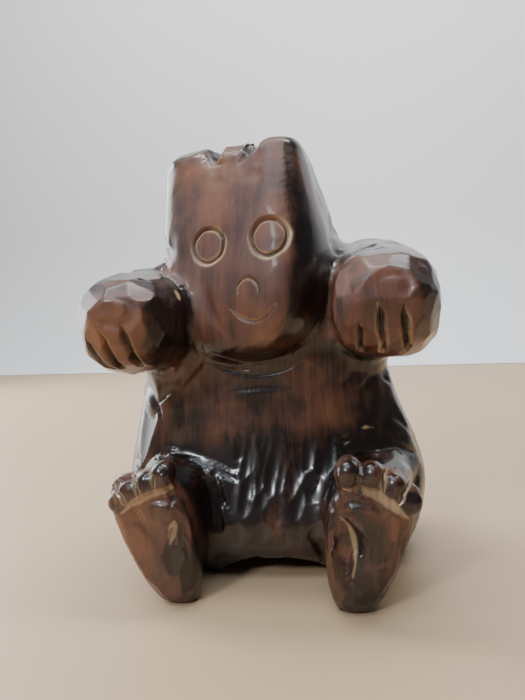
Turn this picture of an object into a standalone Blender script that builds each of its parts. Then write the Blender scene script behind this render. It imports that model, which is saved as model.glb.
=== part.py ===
"""A seated bear carved from one block of wood, with its arms held out and the soles of its feet to the front.

The bear faces -Y and its left side is +X. It rests on its two heels and on the sawn-flat seat behind them,
at z = 0. The body, head, arms and legs are lofts through a few sections. They are grown into one skin, the
toes are added, and grooves and scoops are cut, as a carver roughs out a block and then works it with gouges.
A figure keeps its pose as shares of its height, so places and sections are in parts of the height.
"""

import math

import bmesh
import bpy
import numpy as np
from mathutils import Vector
from mathutils.bvhtree import BVHTree

# Driving sizes, in metres
HEIGHT = 0.240
SKIN_CELL = 0.0024
EYE_RING_RADIUS = 0.0089
EYE_GROOVE_WIDTH = 0.0034
FACE_GROOVE_WIDTH = 0.0030
FACE_GROOVE_DEPTH = 0.0014
FINGER_GROOVE_WIDTH = 0.0044
FINGER_GROOVE_DEPTH = 0.0038
CREASE_WIDTH = 0.0046
CREASE_DEPTH = 0.0020
LEFT_HOLLOW_WIDTH = 0.0125
LEFT_HOLLOW_DEPTH = 0.0060
RIGHT_HOLLOW_WIDTH = 0.0060
RIGHT_HOLLOW_DEPTH = 0.0040
FLUTE_WIDTH = 0.0070
FLUTE_DEPTH = 0.0018
EAR_NOTCH_WIDTH = 0.0120
EAR_NOTCH_DEPTH = 0.0230
BELLY_ARCH_HEIGHT = 0.0160
BELLY_ARCH_SPAN = 0.0700
SEAT_FRONT = 0.0020
TOE_TILT = 12
TOE_SPLAY = 14
TOE_DEPTH = 1.6
TORSO_TURN = math.radians(5.7)
HEAD_TURN = math.radians(-16)
HEAD_LEAN = math.radians(-8)

# Counts
SKIN_TRIANGLES = 5300
RING_POINTS = 48
LOFT_STEPS = 40

# Shares: the height is PARTS long, and one part is P
PARTS = 240
P = HEIGHT / PARTS

# Torso sections from below up, before it turns: height, middle, half width, front, back, squareness
TORSO = (
    (-6, 2, 64, -32, 50, 2.6),
    (4, 3, 76, -44, 58, 2.7),
    (20, 3, 85, -50, 65, 2.7),
    (45, 3, 90, -45, 68, 2.8),
    (70, 2, 85, -37, 65, 2.9),
    (95, 0, 77, -34, 60, 3.0),
    (120, -1, 72, -34, 56, 3.0),
    (148, 0, 70, -34, 52, 2.9),
    (166, 1, 60, -28, 46, 2.7),
    (178, 2, 48, -18, 40, 2.5),
    (186, 2, 36, -6, 32, 2.2),
)
TORSO_PIVOT = (0, -85, 0)

# Head sections before it turns and leans: height, half width of the face, half width behind, face, back
HEAD = (
    (116.5, 11, 14, -38, -8),
    (121, 22, 28, -48, 8),
    (130, 33, 38, -52, 26),
    (145, 42, 43, -53, 38),
    (160, 46.5, 43, -52, 44),
    (178, 48.5, 41, -49, 46),
    (196, 48, 37, -46, 44),
    (213, 47, 34, -41, 39),
    (226, 46, 31, -36, 31),
    (234.5, 44.5, 26, -31, 23),
    (238.2, 37, 18, -24, 12),
)
HEAD_PIVOT = (0, -2, 122)
CROWN_SLOPE = 3.5
FACE_SQUARENESS = 5.5
NAPE_SQUARENESS = 2.3

# Arm sections from shoulder to paw: place along Y, inner side, outer side, underside, top, squareness
LEFT_ARM = (
    (34, 22, 56, 126, 174, 2.2),
    (16, 28, 74, 118, 184, 2.3),
    (-10, 33, 84, 115, 182, 2.4),
    (-40, 36, 88, 117, 175, 2.5),
    (-64, 36, 87, 118, 170, 2.6),
    (-80, 39, 83, 122, 165, 2.5),
    (-89, 48, 75, 132, 155, 2.2),
)
RIGHT_ARM = (
    (30, -64, -26, 122, 164, 2.2),
    (14, -82, -30, 114, 172, 2.3),
    (-10, -91, -38, 112, 174, 2.4),
    (-40, -95, -42, 112, 169, 2.5),
    (-62, -94, -43, 113, 165, 2.6),
    (-76, -89, -46, 118, 160, 2.5),
    (-85, -79, -55, 127, 151, 2.2),
)

# Leg sections from hip to sole: place along Y, girth, underside, top, squareness
LEG = (
    (30, 1.0, -2, 54, 2.3),
    (10, 1.18, -3, 62, 2.4),
    (-15, 1.22, 0, 66, 2.4),
    (-40, 1.02, 5, 63, 2.4),
    (-54, 0.88, 5, 61, 2.5),
    (-66, 0.96, -2, 66, 2.6),
    (-74, 0.98, -3, 68, 2.7),
    (-80, 0.78, 6, 61, 2.4),
)
# Each foot: middle of the sole, half width at the toes, heel's share of that, slant outwards
LEFT_FOOT = (48.5, 24.5, 0.56, 0.18)
RIGHT_FOOT = (51, 24, 0.6, 0.22)
SOLE_LEAN = 0.13

# Each toe: across, up, width, length
LEFT_TOES = ((41.6, 68.5, 12.5, 15.5), (52.3, 68, 10, 13), (61.3, 63.5, 11.5, 13.5), (69, 56, 9.5, 15))
RIGHT_TOES = ((44.8, 67.5, 10.5, 13), (53, 63.5, 9.5, 12.5), (60.6, 58.5, 9.5, 13), (67.8, 52.5, 10, 17))

# Places on the front of the bear: across and up
EYES = ((-28.6, 180, 1.0), (4.6, 180.5, 1.07))
NOSE = ((-13, 152.5), (-13.2, 158), (-8, 161.5), (-3, 158), (-2.8, 152.5))
MOUTH = ((-17, 148), (-12, 141.5), (-5, 138.5), (2.5, 141), (6.5, 147.5))
LEFT_PAW = (-68, 145)
RIGHT_PAW = (-64, 139)
LEFT_FINGERS = ((50, 48), (58.5, 58), (69.5, 70))
RIGHT_FINGERS = ((-82, -73), (-73.5, -65.5), (-63.5, -56.5))
FINGER_SWEEP = (-2, 78)
PAW_REACH = 45
LEFT_HOLLOW = ((36.5, 49), (40.5, 40), (40.5, 29), (38, 17))
RIGHT_HOLLOW = ((-40.5, 46), (-41.5, 40), (-42, 35), (-41.5, 29))
LEFT_CREASE = ((37, 57), (45, 59), (56, 57.5), (65, 51))
RIGHT_CREASE = ((-42, 56.5), (-49, 56), (-57, 52), (-63, 46))
# Gouge cuts down the belly, each from its top to its foot
FLUTES = (
    ((-19.5, 72), (-17.8, 52)),
    ((-8, 66), (-2, 44)),
    ((4, 71), (12, 38)),
    ((15.5, 75), (20, 46)),
    ((28.5, 80), (26, 34)),
    ((37, 72), (34, 46)),
    ((-4, 40), (1, 27)),
)
EAR_NOTCHES = ((-5.5, 1.0, 1.5), (18.5, 1.45, 0.85))
NOTCH_SPAN = (-70, 12)


def through(stations, at):
    """The stations' values at places between them, on cubics whose slopes come from the neighbouring stations."""
    table = np.array(sorted(stations), float)
    place, value = table[:, 0], table[:, 1:]
    slope = np.gradient(value, place, axis=0)
    i = np.clip(np.searchsorted(place, at, side="right") - 1, 0, len(place) - 2)
    step = (place[i + 1] - place[i])[:, None]
    t = (at - place[i])[:, None] / step
    return (
        (2 * t**3 - 3 * t**2 + 1) * value[i]
        + (t**3 - 2 * t**2 + t) * step * slope[i]
        + (3 * t**2 - 2 * t**3) * value[i + 1]
        + (t**3 - t**2) * step * slope[i + 1]
    )


def ring_turns():
    return np.linspace(0, 2 * math.pi, RING_POINTS, endpoint=False)[None]


def superellipse(squareness):
    """Unit points round a superellipse: a squareness of 2 is round, and more is squarer."""
    c, s = np.cos(ring_turns()), np.sin(ring_turns())
    return np.sign(c) * abs(c) ** (2 / squareness), np.sign(s) * abs(s) ** (2 / squareness)


def between(low, high, unit):
    """Points spread between two sides, where unit runs from -1 at the low side to 1 at the high one."""
    return (low + high)[:, None] / 2 + (high - low)[:, None] / 2 * unit


def loft_object(name, rings):
    """A closed mesh through rings of points, its ends capped, with its faces turned outwards."""
    count, points = rings.shape[:2]
    mesh = bpy.data.meshes.new(name)
    work = bmesh.new()
    verts = [[work.verts.new(point * P) for point in ring] for ring in rings]
    for lower, upper in zip(verts, verts[1:]):
        for i in range(points):
            j = (i + 1) % points
            work.faces.new((lower[i], lower[j], upper[j], upper[i]))
    work.faces.new(verts[0])
    work.faces.new(verts[count - 1])
    bmesh.ops.recalc_face_normals(work, faces=work.faces)
    work.to_mesh(mesh)
    work.free()
    return add_object(name, mesh)


def add_object(name, mesh):
    obj = bpy.data.objects.new(name, mesh)
    bpy.context.scene.collection.objects.link(obj)
    return obj


def turned(points, pivot, turn, lean=0.0):
    """Points after they lean sideways about a pivot and then turn about the upright line through it."""
    x, y, z = np.moveaxis(points - np.array(pivot), -1, 0)
    x, z = x * math.cos(lean) + z * math.sin(lean), z * math.cos(lean) - x * math.sin(lean)
    x, y = x * math.cos(turn) - y * math.sin(turn), x * math.sin(turn) + y * math.cos(turn)
    return np.stack([x, y, z], axis=-1) + np.array(pivot)


def torso():
    """The body from seat to neck: flat sections, wide at the hips and square at the chest."""
    at = np.linspace(TORSO[0][0], TORSO[-1][0], LOFT_STEPS)
    middle, half, front, back, squareness = through(TORSO, at).T
    c, s = superellipse(squareness[:, None])
    x = between(middle - half, middle + half, c)
    rings = np.stack([x, between(front, back, s), at[:, None] + 0 * c], axis=-1)
    return loft_object("torso", turned(rings, TORSO_PIVOT, TORSO_TURN))


def head():
    """The head: a block with a flat face, a chin that overhangs the chest and square upper corners."""
    at = np.linspace(HEAD[0][0], HEAD[-1][0], LOFT_STEPS)
    face_half, back_half, front, back = through(HEAD, at).T
    behind = (np.sin(ring_turns()) + 1) / 2
    c, s = superellipse(FACE_SQUARENESS + (NAPE_SQUARENESS - FACE_SQUARENESS) * behind**0.5)
    behind = (s + 1) / 2
    half = face_half[:, None] * (1 - behind) + back_half[:, None] * behind
    crown = np.linspace(0, 1, LOFT_STEPS)[:, None] ** 6
    z = at[:, None] - CROWN_SLOPE * crown * c
    rings = np.stack([HEAD_PIVOT[0] + half * c, between(front, back, s), z], axis=-1)
    return loft_object("head", turned(rings, HEAD_PIVOT, HEAD_TURN, HEAD_LEAN))


def arm(name, stations):
    """An arm held forward, from inside the shoulder to the blunt paw."""
    at = np.linspace(stations[0][0], stations[-1][0], LOFT_STEPS)
    inner, outer, under, top, squareness = through(stations, at).T
    c, s = superellipse(squareness[:, None])
    rings = np.stack([between(inner, outer, c), at[:, None] + 0 * c, between(under, top, s)], axis=-1)
    return loft_object(name, rings)


def leg(name, side, foot):
    """A leg stretched forward to an upright sole, narrow at the heel and slanting outwards to the toes."""
    at = np.linspace(LEG[0][0], LEG[-1][0], LOFT_STEPS)
    girth, under, top, squareness = through(LEG, at).T
    middle, half, heel_share, slant = foot
    c, s = superellipse(squareness[:, None])
    z = between(under, top, s)
    reach = heel_share + (1 - heel_share) * (s + 1) / 2
    x = middle + half * girth[:, None] * c * reach + slant * (top - under)[:, None] / 2 * s
    lean = SOLE_LEAN * (z - LEG[0][2]) * np.clip(-at / -LEG[-1][0], 0, 1)[:, None]
    rings = np.stack([side * x, at[:, None] - lean, z], axis=-1)
    return loft_object(name, rings)


def evaluated_mesh(obj):
    graph = bpy.context.evaluated_depsgraph_get()
    return bpy.data.meshes.new_from_object(obj.evaluated_get(graph))


def with_modifiers_applied(obj):
    """The object with its modifiers made part of its mesh."""
    mesh = evaluated_mesh(obj)
    obj.modifiers.clear()
    obj.data = mesh
    return obj


def grown_together(name, masses):
    """One closed skin round masses that overlap: remeshed in cells, smoothed, and thinned to few triangles."""
    work = bmesh.new()
    for mass in masses:
        work.from_mesh(mass.data)
        bpy.data.objects.remove(mass)
    mesh = bpy.data.meshes.new(name)
    work.to_mesh(mesh)
    work.free()
    obj = add_object(name, mesh)
    cells = obj.modifiers.new("Skin", "REMESH")
    cells.mode = "VOXEL"
    cells.voxel_size = SKIN_CELL
    smooth = obj.modifiers.new("Worn", "SMOOTH")
    smooth.factor = 0.5
    smooth.iterations = 8
    with_modifiers_applied(obj)
    thin = obj.modifiers.new("Facets", "DECIMATE")
    thin.ratio = SKIN_TRIANGLES / (2 * len(obj.data.polygons))
    thin.use_collapse_triangulate = True
    return with_modifiers_applied(obj)


def surface_of(obj):
    work = bmesh.new()
    work.from_mesh(obj.data)
    tree = BVHTree.FromBMesh(work)
    work.free()
    return tree


def met(tree, target, direction, reach=2 * PARTS):
    """Where a line that starts a reach away and runs towards a place, all in parts, first meets the bear."""
    direction = Vector(direction).normalized()
    spot = tree.ray_cast((Vector(target) - direction * reach) * P, direction)[0]
    if spot is None:
        raise ValueError(f"no wood lies on the line through {tuple(target)}")
    return np.array(spot) / P


def met_from_front(tree, x, z):
    """Where a level line from the front meets the bear, at x across and z up."""
    return met(tree, (x, 0, z), (0, 1, 0))


def curve_through(points, steps):
    """Places along a smooth curve through a few points, evenly spread by the points' number."""
    marks = np.linspace(0, 1, len(points))[:, None]
    rows = np.hstack([marks, np.array(points, float)])
    return through(rows.tolist(), np.linspace(0, 1, steps))


def groove(name, path, outward, width, depth, sides=4):
    """A cutter like the path of a gouge: a spindle along the path, full in the middle and thin at its ends."""
    path = np.array(path)
    run = np.gradient(path, axis=0)
    run /= np.linalg.norm(run, axis=1)[:, None]
    out = np.broadcast_to(outward, path.shape)
    out = out - (out * run).sum(axis=1)[:, None] * run
    out /= np.linalg.norm(out, axis=1)[:, None]
    across = np.cross(run, out)
    share = np.linspace(0, 1, len(path))
    full = np.clip(np.sin(math.pi * (0.04 + 0.92 * share)), 0, 1)[:, None, None] ** 0.5
    turn = np.linspace(0, 2 * math.pi, sides, endpoint=False)
    ring = np.cos(turn)[:, None] * across[:, None] * width / 2 + np.sin(turn)[:, None] * out[:, None] * depth
    return loft_object(name, path[:, None] + ring * full)


def toe(name, side, x, z, width, length):
    """A toe on the upper edge of the sole, longer than wide."""
    bpy.ops.mesh.primitive_uv_sphere_add(segments=12, ring_count=7)
    obj = bpy.context.object
    obj.name = name
    sole = LEG[-2][0] - SOLE_LEAN * z
    obj.location = (side * x * P, (sole + width / 4) * P, z * P)
    obj.rotation_euler = (math.radians(TOE_TILT), side * math.radians(TOE_SPLAY), 0)
    obj.scale = (width * P / 2, width * P * TOE_DEPTH / 2, length * P / 2)
    return obj


def eye_ring(name, tree, x, z, size):
    """The cutter for the groove round an eye, square to the turned face."""
    spot = met_from_front(tree, x, z) * P
    near = [met_from_front(tree, x + dx, z + dz) for dx, dz in ((5, 0), (-5, 0), (0, 5), (0, -5))]
    normal = Vector(np.cross(near[0] - near[1], near[2] - near[3])).normalized()
    bpy.ops.mesh.primitive_torus_add(
        major_radius=EYE_RING_RADIUS * size,
        minor_radius=EYE_GROOVE_WIDTH / 2,
        major_segments=28,
        minor_segments=6,
        location=spot,
        rotation=normal.to_track_quat("Z", "Y").to_euler(),
    )
    obj = bpy.context.object
    obj.name = name
    return obj


def on_front(tree, points, steps=9):
    """A smooth curve through points given across and up, laid on the front of the bear."""
    flat = curve_through(points, steps)
    return [met_from_front(tree, x, z) for x, z in flat]


def face_cutters(tree):
    """The eye rings, the nose and the mouth."""
    outward = np.array([math.sin(HEAD_TURN), -math.cos(HEAD_TURN), 0])
    cutters = [
        eye_ring(f"eye_cutter_{i}", tree, x, z, size) for i, (x, z, size) in enumerate(EYES, start=1)
    ]
    for name, points in (("nose_cutter", NOSE), ("mouth_cutter", MOUTH)):
        path = on_front(tree, points, 11)
        cutters.append(groove(name, path, outward, FACE_GROOVE_WIDTH / P, FACE_GROOVE_DEPTH / P))
    return cutters


def finger_cutters(tree):
    """Three grooves down the front of each paw, which part four fingers."""
    cutters = []
    for hand, (y, z), fingers in (("left", LEFT_PAW, LEFT_FINGERS), ("right", RIGHT_PAW, RIGHT_FINGERS)):
        for number, (upper, lower) in enumerate(fingers, start=1):
            path = []
            for share in np.linspace(0, 1, 8):
                tilt = math.radians(FINGER_SWEEP[0] + (FINGER_SWEEP[1] - FINGER_SWEEP[0]) * share)
                x = upper + (lower - upper) * share
                path.append(met(tree, (x, y, z), (0, math.cos(tilt), math.sin(tilt)), PAW_REACH))
            outward = np.array([0, -1, -0.8])
            name = f"{hand}_finger_cutter_{number}"
            cutters.append(
                groove(name, path, outward, FINGER_GROOVE_WIDTH / P, FINGER_GROOVE_DEPTH / P)
            )
    return cutters


def sole_cutters(tree):
    """On each sole, the crease under the toes and the hollow of the instep."""
    cuts = (
        ("left_crease_cutter", LEFT_CREASE, CREASE_WIDTH, CREASE_DEPTH),
        ("right_crease_cutter", RIGHT_CREASE, CREASE_WIDTH, CREASE_DEPTH),
        ("left_hollow_cutter", LEFT_HOLLOW, LEFT_HOLLOW_WIDTH, LEFT_HOLLOW_DEPTH),
        ("right_hollow_cutter", RIGHT_HOLLOW, RIGHT_HOLLOW_WIDTH, RIGHT_HOLLOW_DEPTH),
    )
    forward = np.array([0, -1.0, 0])
    return [
        groove(name, on_front(tree, points), forward, width / P, depth / P, 8)
        for name, points, width, depth in cuts
    ]


def belly_cutters(tree):
    """Long gouge cuts down the belly."""
    outward = np.array([0, -1.0, 0.3])
    return [
        groove(f"flute_cutter_{i}", on_front(tree, ends), outward, FLUTE_WIDTH / P, FLUTE_DEPTH / P, 8)
        for i, ends in enumerate(FLUTES, start=1)
    ]


def notch_cutter(name, x, deep, wide):
    """A V cut from the top of the head that sets an ear apart, deep at the face and running out behind."""
    top = HEAD[-1][0]
    depth, half = deep * EAR_NOTCH_DEPTH / P, wide * EAR_NOTCH_WIDTH / P / 2
    share = np.linspace(0, 1, 6)[:, None]
    y = NOTCH_SPAN[0] + (NOTCH_SPAN[1] - NOTCH_SPAN[0]) * share
    floor = top - depth * (1 - share**2)
    rings = np.concatenate(
        [
            np.stack([x + 0 * y, y, floor], axis=-1),
            np.stack([x + 2 * half + 0 * y, y, floor + 2 * depth], axis=-1),
            np.stack([x - 2 * half + 0 * y, y, floor + 2 * depth], axis=-1),
        ],
        axis=1,
    )
    return loft_object(name, turned(rings, HEAD_PIVOT, HEAD_TURN, HEAD_LEAN))


def arch_cutter():
    """The hollow under the front of the belly, an arch from leg to leg that closes at the seat."""
    half, rise = BELLY_ARCH_SPAN / P / 2, BELLY_ARCH_HEIGHT / P
    share = np.linspace(0, 1, 8)
    turn = np.linspace(0, math.pi, 15)
    arch = np.stack([half * np.cos(turn), 0 * turn, rise * np.sin(turn)], axis=-1)
    floor = np.array([[-half, 0, -20], [half, 0, -20]])
    outline = np.concatenate([arch, floor])
    rings = []
    for s in share:
        ring = outline * [1 - 0.35 * s**2, 1, 1]
        ring[:, 2] = np.where(ring[:, 2] > 0, ring[:, 2] * (1 - 0.8 * s**2), ring[:, 2])
        ring[:, 1] = -100 + (100 + SEAT_FRONT / P) * s
        rings.append(ring)
    return loft_object("arch_cutter", np.array(rings))


def ground_cutter():
    """Everything below the table, so that heels and seat are sawn flat."""
    bpy.ops.mesh.primitive_cube_add(size=1, location=(0, 0, -HEIGHT / 4))
    obj = bpy.context.object
    obj.name = "ground_cutter"
    obj.dimensions = (2 * HEIGHT, 2 * HEIGHT, HEIGHT / 2)
    return obj


def gather(name, objects, hidden):
    """A collection of these objects. Cutters are hidden from renders and drawn as wire."""
    collection = bpy.data.collections.new(name)
    bpy.context.scene.collection.children.link(collection)
    for obj in objects:
        for old in list(obj.users_collection):
            old.objects.unlink(obj)
        collection.objects.link(obj)
        if hidden:
            obj.hide_render = True
            obj.display_type = "WIRE"
    return collection


def boolean(obj, name, operation, collection):
    modifier = obj.modifiers.new(name, "BOOLEAN")
    modifier.operation = operation
    modifier.operand_type = "COLLECTION"
    modifier.collection = collection
    modifier.solver = "EXACT"
    return modifier


def wood():
    """Dark brown stained wood under a glossy clear finish."""
    material = bpy.data.materials.new("stained wood")
    material.use_nodes = True
    shader = material.node_tree.nodes["Principled BSDF"]
    shader.inputs["Base Color"].default_value = (0.075, 0.032, 0.018, 1)
    shader.inputs["Roughness"].default_value = 0.36
    shader.inputs["Metallic"].default_value = 0.0
    return material


def stand_on_origin(bear, others):
    """Hangs everything on one empty, moved so that the middle of the bear's box is over the origin."""
    points = np.array([vertex.co for vertex in evaluated_mesh(bear).vertices])
    middle = (points.min(axis=0) + points.max(axis=0)) / 2
    stand = bpy.data.objects.new("carving_block", None)
    bpy.context.scene.collection.objects.link(stand)
    stand.location = (-middle[0], -middle[1], 0)
    for obj in [bear, *others]:
        obj.parent = stand


def main():
    for obj in list(bpy.data.objects):
        bpy.data.objects.remove(obj)
    masses = [
        torso(),
        head(),
        arm("left_arm", LEFT_ARM),
        arm("right_arm", RIGHT_ARM),
        leg("left_leg", 1, LEFT_FOOT),
        leg("right_leg", -1, RIGHT_FOOT),
    ]
    bear = grown_together("bear", masses)
    tree = surface_of(bear)
    toes = [
        toe(f"{foot}_toe_{number}", side, *size)
        for foot, side, sizes in (("left", 1, LEFT_TOES), ("right", -1, RIGHT_TOES))
        for number, size in enumerate(sizes, start=1)
    ]
    cutters = face_cutters(tree) + finger_cutters(tree) + sole_cutters(tree) + belly_cutters(tree)
    cutters += [notch_cutter(f"ear_cutter_{i}", *notch) for i, notch in enumerate(EAR_NOTCHES, start=1)]
    cutters += [arch_cutter(), ground_cutter()]
    boolean(bear, "Toes", "UNION", gather("toes", toes, True))
    boolean(bear, "Carving", "DIFFERENCE", gather("cutters", cutters, True))
    bpy.context.view_layer.update()
    stand_on_origin(bear, toes + cutters)
    bear.data.materials.clear()
    bear.data.materials.append(wood())
    gather("carved bear", [bear], False)
    bpy.context.view_layer.update()


main()
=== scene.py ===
"""Dresses the carved bear: its roughed-out solid is worked over with knife and gouge, stained and lacquered.

The bear faces -Y with its left side towards +X, and stands on z = 0. Lengths are metres, but places on the
bear and the sizes of strokes are millimetres, because a carver would mark them out so.
"""
import math
from itertools import product
from typing import NamedTuple

import bpy
import numpy as np
from bpy.props import FloatProperty, FloatVectorProperty, PointerProperty
from mathutils import Matrix, Vector


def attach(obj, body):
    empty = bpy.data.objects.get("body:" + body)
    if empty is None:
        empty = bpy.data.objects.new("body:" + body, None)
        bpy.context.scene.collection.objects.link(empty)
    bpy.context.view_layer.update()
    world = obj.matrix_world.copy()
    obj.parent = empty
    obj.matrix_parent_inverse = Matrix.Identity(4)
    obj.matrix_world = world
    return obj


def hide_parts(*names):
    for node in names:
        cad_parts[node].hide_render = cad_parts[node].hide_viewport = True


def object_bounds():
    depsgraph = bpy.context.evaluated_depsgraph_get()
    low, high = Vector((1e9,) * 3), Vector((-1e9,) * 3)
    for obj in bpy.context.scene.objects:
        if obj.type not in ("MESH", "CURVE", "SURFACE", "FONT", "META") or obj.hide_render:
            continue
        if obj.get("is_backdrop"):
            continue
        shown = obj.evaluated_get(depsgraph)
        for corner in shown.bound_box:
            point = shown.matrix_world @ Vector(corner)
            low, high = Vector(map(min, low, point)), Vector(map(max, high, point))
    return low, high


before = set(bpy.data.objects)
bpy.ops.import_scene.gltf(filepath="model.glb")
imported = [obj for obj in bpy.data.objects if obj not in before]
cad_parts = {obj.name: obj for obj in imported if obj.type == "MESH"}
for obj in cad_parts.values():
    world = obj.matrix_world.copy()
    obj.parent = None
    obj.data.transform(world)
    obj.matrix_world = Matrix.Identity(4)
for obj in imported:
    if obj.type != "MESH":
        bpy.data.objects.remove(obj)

bl_info = {
    "name": "Carved Wooden Bear",
    "version": (1, 0, 0),
    "blender": (4, 5, 0),
    "location": "3D View > Sidebar > Carved Bear",
    "description": "Carves, stains and lacquers a seated wooden bear over its roughed-out solid",
    "category": "Object",
}

BEAR_NODE = "bear"
BEAR_NAME = "carved_bear"
MM = 0.001

CAD_LOW, CAD_HIGH = (np.array(corner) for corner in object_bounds())
TALL = float(CAD_HIGH[2] - CAD_LOW[2])

# The photograph's frame and the camera that took it, in pixels, metres and degrees
FRAME_WIDTH, FRAME_HEIGHT = 525, 700
FOCAL_PIXELS = 560
CAMERA_PLACE = (0.0569, -0.3226, 0.139)
CAMERA_TURN, CAMERA_DIP, CAMERA_ROLL = 10.7, 3.14, 2.36
SENSOR = 36
NEAREST_SEEN = 0.01

# The floor, the sheet behind the bear with a quarter round where it meets the floor, and the room's light
FLOOR_COLOR, FLOOR_ROUGHNESS = (0.53, 0.37, 0.23), 0.5
BACKDROP_AWAY, BACKDROP_TALL, BACKDROP_BEND = 1.7, 2.6, 0.5
BACKDROP_STEPS = 13
BACKDROP_LIFT = 0.001
BACKDROP_COLOR, BACKDROP_ROUGHNESS = (0.80, 0.83, 0.86), 0.8
ROOM_COLOR, ROOM_LIGHT = (0.84, 0.88, 0.92, 1), 0.10


class Light(NamedTuple):
    """A rectangle of light: its place, its two sides, its colour and what it faces."""

    place: tuple
    size: tuple
    color: tuple
    target: tuple = (0, 0, TALL / 2)


LIGHTS = {
    "window": Light((-1.05, 0.40, 0.45), (0.8, 0.9), (0.97, 0.98, 1.0)),
    "near_window": Light((-0.50, -1.10, 0.80), (0.20, 0.20), (0.9, 0.95, 1.0)),
    "overhead": Light((-0.1, -0.45, 0.95), (0.7, 0.5), (0.74, 0.87, 1.0)),
    "backdrop_light": Light((0, 0.2, 2.2), (2.5, 0.4), (1.0, 1.0, 1.0), (0, BACKDROP_AWAY, 0.6)),
}

# How the skin is made ready: welded, eased forward and back, smoothed in places, then split finer in front
WELD_GAP = 1e-5
EASE_PULLS, EASE_ROUNDS = (0.5, -0.52), 16
LAST_EASE_ROUNDS = 2
SMOOTH_PULL, SMOOTH_ROUNDS = 0.6, 18
SMOOTHED = {"smooth_belly": 1.0, "smooth_face": 0.3, "smooth_fingers": 1.0}
TEMPLE_OUT, EAR_UP = 2.0, 2.6
FINE_FRONT = -20
FINE_CROWN_ABOVE, FINE_CROWN_BEFORE = 205, 20
# A hollow is where this many rounds of smoothing raise the skin, from not at all to fully, in millimetres
HOLLOW_ROUNDS = 12
HOLLOW_RISE = (0.2, 0.8)

# Zones, each the product of bands in millimetres that go from where they start to where they are full: across
# (x), back (y), up (z), to either side, off the lap's middle, or by how far the skin faces left or back
LAP_MIDDLE = 8
ZONES = {
    "arms": (("side", 24, 36), ("y", 24, 8), ("z", 103, 112), ("z", 192, 182)),
    "between_paws": (("side", 52, 44), ("y", -48, -40)),
    "head": (("z", 118, 130),),
    "crown": (("z", 208, 215), ("x", -28, -22), ("x", 8, 2)),
    "face": (("y", -6, -14),),
    "soles": (("y", -44, -56), ("z", 98, 84)),
    "chest": (("y", -6, -16), ("z", 70, 84), ("side", 60, 48)),
    "belly": (("y", -14, -20), ("x", -19, -10), ("x", 46, 40), ("z", 86, 76), ("z", 18, 26), ("y", -60, -52)),
    "behind_soles": (("y", -20, -28), ("z", 96, 86), ("faces_back", -0.65, -0.35), ("off_lap", 14, 22)),
    "smooth_belly": (("y", -12, -20), ("z", 92, 84), ("y", -66, -58), ("off_lap", 46, 38), ("z", 18, 26)),
    "smooth_face": (("y", -14, -22), ("z", 122, 130), ("z", 216, 208), ("side", 60, 50)),
    "smooth_fingers": (("y", -46, -54), ("side", 48, 52), ("z", 104, 110), ("z", 146, 138)),
    "right_temple": (("x", -18, -40), ("z", 146, 165), ("y", 24, 10)),
    "right_ear": (("x", -6, -30), ("z", 200, 222)),
    # Painted shade: the face and paws are rubbed less, so painted darker, where their skin faces the bear's
    # left, +x, away from the window light
    "rubbed_and_side_shaded_face": (("y", 0, -26), ("z", 118, 134), ("side", 60, 46), ("faces_left", 0.5, 0.15)),
    "rubbed_and_side_shaded_paws": (("y", -46, -66), ("z", 104, 116), ("faces_left", 0.8, 0.4)),
    "rubbed_chest": (("y", -6, -18), ("z", 66, 84), ("z", 126, 112), ("side", 58, 40)),
    "rubbed_soles": (("y", -56, -68), ("z", 88, 76)),
}
RUBBED = {"rubbed_and_side_shaded_face": 0.9, "rubbed_and_side_shaded_paws": 0.7, "rubbed_chest": 0.5, "rubbed_soles": 0.45}


class Cuts(NamedTuple):
    """A region's knife cuts: their spacing in metres, the run of the knife, how much longer than wide they
    are, the radius of their bowls in metres, how far they tilt, how much deeper some are sunk than others in
    metres, and as shares how deep they are made and how unevenly they take the stain."""

    spacing: float
    run: tuple
    stretch: float
    bowl: float
    tilt: float
    sink: float
    bite: float = 1.0
    mottle: float = 1.0


CUTS = {
    "paws": Cuts(0.0115, (0.0, 1.0, 0.0), 1.15, 0.22, 0.09, 0.0005),
    "head": Cuts(0.0120, (0.1, 0.2, 1.0), 2.00, 0.10, 0.025, 0.0003),
    "face": Cuts(0.0210, (0.1, 0.0, 1.0), 1.50, 0.22, 0.010, 0.0001, bite=0.3, mottle=0.12),
    "crown": Cuts(0.0065, (0.0, 0.4, 1.0), 1.30, 0.03, 0.05, 0.0003, mottle=0.4),
    "soles": Cuts(0.0095, (0.0, 0.0, 1.0), 1.30, 0.060, 0.09, 0.0006, mottle=0.8),
    "body": Cuts(0.0185, (0.0, 0.0, 1.0), 1.60, 0.14, 0.025, 0.0004, mottle=0.7),
    "chest": Cuts(0.0110, (1.0, 0.0, 0.1), 1.80, 0.06, 0.006, 0.0001, bite=0.6, mottle=0.25),
    "belly": Cuts(0.0078, (0.14, 0.0, 1.0), 4.20, 0.0085, 0.02, 0.0006, mottle=0.5),
}
# Every cut is sunk this far more, and none goes lower than this
CUT_SINK = 0.0005
CUT_LOW = -0.0018
# A cut fades where the skin turns from it, between these shares, and is left out below the first
LEAST_LEAN, FULL_LEAN, LEAN_FADE = 0.72, 0.86, 0.022
# It fades beyond its reach, in spacings, and where the skin is further from its plane than the lowest cut
REACH, REACH_FADE = 1.4, 0.0034
BEHIND_FADE = 3.0
NEARBY_CELLS = (-2, -1, 0, 1, 2)
RIDGE_WIDTH = 0.25

# The fronts of the toes, in millimetres, the balls that they are rounded to, and how far a toe reaches
TOES = (
    (-65.6, -75.7, 53.2), (-57.4, -77.3, 59.2), (-49.8, -76.6, 63.9), (-41.8, -77.5, 68.1),
    (46.5, -78.8, 69.9), (57.2, -77.6, 68.8), (66.5, -77.6, 64.1), (73.9, -76.1, 55.8),
)
TOE_RADIUS = 5.6
TOE_DROP = 0.5
TOE_ROUNDED = (1.0, -2.5)
TOE_REACH, TOE_FULL = 8.0, 0.6

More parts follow.
